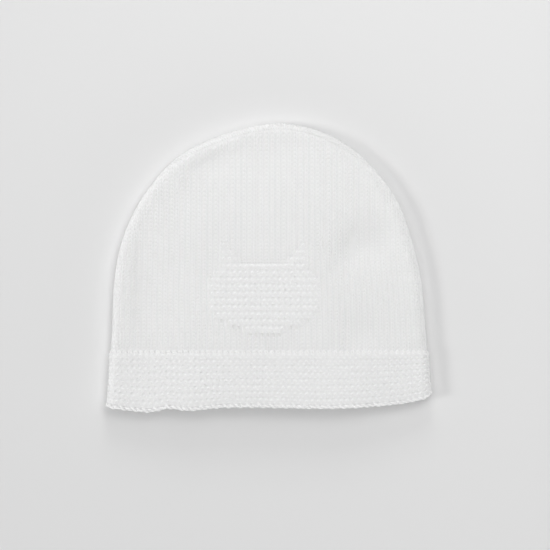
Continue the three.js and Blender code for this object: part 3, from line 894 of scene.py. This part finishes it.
def knit_band(name, pieces, material):
    """The band's garter rows, closed rounds of loops, from its foot up."""
    tubes = []
    rows = 2 * BAND_RIDGES
    stitches = 2 * WALES
    for row in range(rows):
        low = np.full(stitches, PURL if row % 2 == 1 else KNIT)
        up = np.full(stitches, PURL if row % 2 == 0 else KNIT)
        garter = np.full(stitches, True)
        u, v, height, tile_u, tile = loop_path(0, stitches - 1, row, low, up, garter, FRONT_STEPS)
        points, outwards = band_points(u, v, height + band_relief(v))
        radius = loop_radius(u, v, 1.0, FRONT_STEPS)
        tubes.append(tube(points, outwards, radius, tile_u, tile, FRONT_SIDES, GARTER_FLAT, closed=True))
    half = rows // 2
    return [join_tubes(f"{name}_{suffix}", part, material)
            for suffix, part in zip(pieces, (tubes[:half], tubes[half:]))]


def band_core_sheet(name, material):
    """The middle sheet of the band, a closed ring."""
    around = np.linspace(0, 2 * WALES, 4 * WALES + 1)[:-1]
    upwards = np.linspace(0, 2 * BAND_RIDGES + BAND_CORE_TOP, 4 * BAND_RIDGES + 1)
    u, v = np.meshgrid(around, upwards, indexing="ij")
    outer, _ = band_points(u, v, band_relief(v) + CORE_THICK / 2 + BAND_CORE_OUT)
    inner, _ = band_points(u, v, band_relief(v) - CORE_THICK / 2)
    return grid_shell(name, outer, inner, material, around=True)


def cast_on_edge(name, material):
    """Two doubled strands wound round each other under the first row, one turn for two stitches."""
    tubes = []
    count = WALES * EDGE_STEPS
    turn = np.arange(count) / EDGE_STEPS * FULL_TURN
    u = turn / FULL_TURN * 2
    for start in (0, HALF_TURN):
        drop = EDGE_DROP - EDGE_COIL * np.cos(turn + start) + EDGE_SCALLOP * np.cos(turn)
        lift = EDGE_OUT + EDGE_COIL * np.sin(turn + start)
        points, outwards = band_points(u, -drop / BAND_ROW, lift)
        tile_u = np.mod(np.arange(count) / EDGE_STEPS * 2, 1)
        tile = (u.astype(int) * TILE_STEP + (TILE_MIX if start else 0)) % (TILES * TILES)
        radius = EDGE_STRAND * (1 + EDGE_BEAD * np.sin(turn + start))
        tubes.append(tube(points, outwards, radius, tile_u, tile, FRONT_SIDES, closed=True))
    return join_tubes(name, tubes, material)


band_knit = knit_band("band_knit", ("low", "high"), garter_yarn)
band_core = band_core_sheet("band_core", shaded_core)
edge_yarn = cast_on_edge("cast_on_yarn", garter_yarn)


# The linked seam

def linked_seam(name, material):
    """Two thin strands wound along the seam, from the band's left end over the crown to its right end."""
    keep = outline[:, 1] > PANEL_FOOT
    line = outline[keep]
    normal = point_normal[keep]
    length = np.concatenate([[0], np.cumsum(np.linalg.norm(np.diff(line, axis=0), axis=1))])
    distance = np.arange(0, length[-1], SEAM_PITCH / SEAM_STEPS)
    centre = np.stack([np.interp(distance, length, line[:, k]) for k in range(2)], axis=1)
    inwards = unit(np.stack([np.interp(distance, length, normal[:, k]) for k in range(2)], axis=1))
    turn = distance / SEAM_PITCH * FULL_TURN
    outer = EDGE_RADIUS - SEAM_SUNK
    tubes = []
    for start in (0, HALF_TURN):
        angle = seam_turn(centre[:, 1]) + SEAM_COIL * np.cos(turn + start) / outer
        radius = outer + SEAM_COIL * np.sin(turn + start)
        reach = EDGE_RADIUS - radius * np.cos(angle)
        points = np.column_stack([centre + inwards * reach[:, None], EDGE_RADIUS + radius * np.sin(angle)])
        outwards = np.column_stack([-inwards * np.cos(angle)[:, None], np.sin(angle)])
        tile_u = np.mod(np.arange(len(distance)) / SEAM_STEPS, 1)
        tile = (distance / SEAM_PITCH).astype(int) % (TILES * TILES)
        tubes.append(tube(points, outwards, SEAM_STRAND, tile_u, tile, BACK_SIDES))
    return join_tubes(name, tubes, material)


seam_chain = linked_seam("seam_yarn_chain", seam_yarn)


# What each piece rides on and stands for

for piece in front_knit + [front_core, front_figure_core]:
    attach(piece, "root")
    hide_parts("front_panel")
for piece in back_knit + [back_core]:
    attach(piece, "root")
    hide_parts("back_panel")
for piece in band_knit + [band_core]:
    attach(piece, "root")
    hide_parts("brim_band")
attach(edge_yarn, "root")
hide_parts("cast_on_edge")
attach(seam_chain, "root")
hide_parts("crown_seam")


# Floor, light and camera

def make_floor():
    material, nodes, links = new_material("pale_floor")
    shader = nodes["Principled BSDF"]
    shader.inputs["Base Color"].default_value = (*FLOOR_COLOUR, 1)
    shader.inputs["Roughness"].default_value = 0.95
    shader.inputs["Specular IOR Level"].default_value = 0.1
    mesh = bpy.data.meshes.new("floor")
    half = FLOOR_SIZE / 2 * MM
    corners = [(-half, -half, 0), (half, -half, 0), (half, half, 0), (-half, half, 0)]
    mesh.from_pydata(corners, [], [(0, 1, 2, 3)])
    mesh.materials.append(material)
    floor = bpy.data.objects.new("floor", mesh)
    bpy.context.scene.collection.objects.link(floor)


def aim(thing, target):
    """Turns a light or camera to look at a point, with +Y up in its picture where it looks straight down."""
    direction = np.array(target, float) - np.array(thing.location, float)
    direction /= np.linalg.norm(direction)
    tilt = math.acos(-direction[2])
    heading = math.atan2(-direction[0], direction[1]) if abs(direction[2]) < STRAIGHT else 0.0
    thing.rotation_euler = (tilt, 0, heading)


def add_light(name, kind, energy, location, **settings):
    data = bpy.data.lights.new(name, kind)
    data.energy = energy
    for key, value in settings.items():
        setattr(data, key, value)
    light = bpy.data.objects.new(name, data)
    light.location = location
    aim(light, (0, 0, 0))
    bpy.context.scene.collection.objects.link(light)


def make_lights():
    for light in LIGHTS:
        add_light(**light)


def make_sky():
    """A pale room: even light from above, brighter near the horizon on the sides that GLOWS names."""
    world = bpy.data.worlds.new("room")
    world.use_nodes = True
    nodes, links = world.node_tree.nodes, world.node_tree.links
    place = nodes.new("ShaderNodeTexCoord")
    split = nodes.new("ShaderNodeSeparateXYZ")
    links.new(place.outputs["Generated"], split.inputs[0])
    low = nodes.new("ShaderNodeMapRange")
    low.interpolation_type = "SMOOTHSTEP"
    low.inputs["From Max"].default_value = GLOW_TOP
    low.inputs["To Min"].default_value = 1.0
    low.inputs["To Max"].default_value = 0.0
    links.new(split.outputs["Z"], low.inputs["Value"])
    strength = SKY
    for towards_x, towards_y, everywhere, glow in GLOWS:
        across = math_node(nodes, links, "MULTIPLY", split.outputs["X"], towards_x)
        along = math_node(nodes, links, "MULTIPLY", split.outputs["Y"], towards_y)
        facing = math_node(nodes, links, "ADD", math_node(nodes, links, "ADD", across, along), everywhere)
        facing = math_node(nodes, links, "MAXIMUM", facing, 0.0)
        lit = math_node(nodes, links, "MULTIPLY", facing, glow)
        lit = math_node(nodes, links, "MULTIPLY", lit, low.outputs[0])
        strength = math_node(nodes, links, "ADD", lit, strength)
    background = nodes["Background"]
    background.inputs["Color"].default_value = (1, 1, 1, 1)
    links.new(strength, background.inputs["Strength"])
    bpy.context.scene.world = world


def make_camera():
    data = bpy.data.cameras.new("camera")
    data.sensor_width = SENSOR
    data.lens = SENSOR * CAMERA_HEIGHT / VIEW_WIDTH
    data.clip_end = CAMERA_REACH
    camera = bpy.data.objects.new("camera", data)
    camera.location = (VIEW_X * MM, VIEW_Y * MM, CAMERA_HEIGHT * MM)
    camera.rotation_euler = (0, 0, 0)
    bpy.context.scene.collection.objects.link(camera)
    bpy.context.scene.camera = camera


make_floor()
make_lights()
make_sky()
make_camera()
bpy.context.scene.view_settings.view_transform = "Standard"
bpy.context.scene.cycles.diffuse_bounces = DIFFUSE_BOUNCES
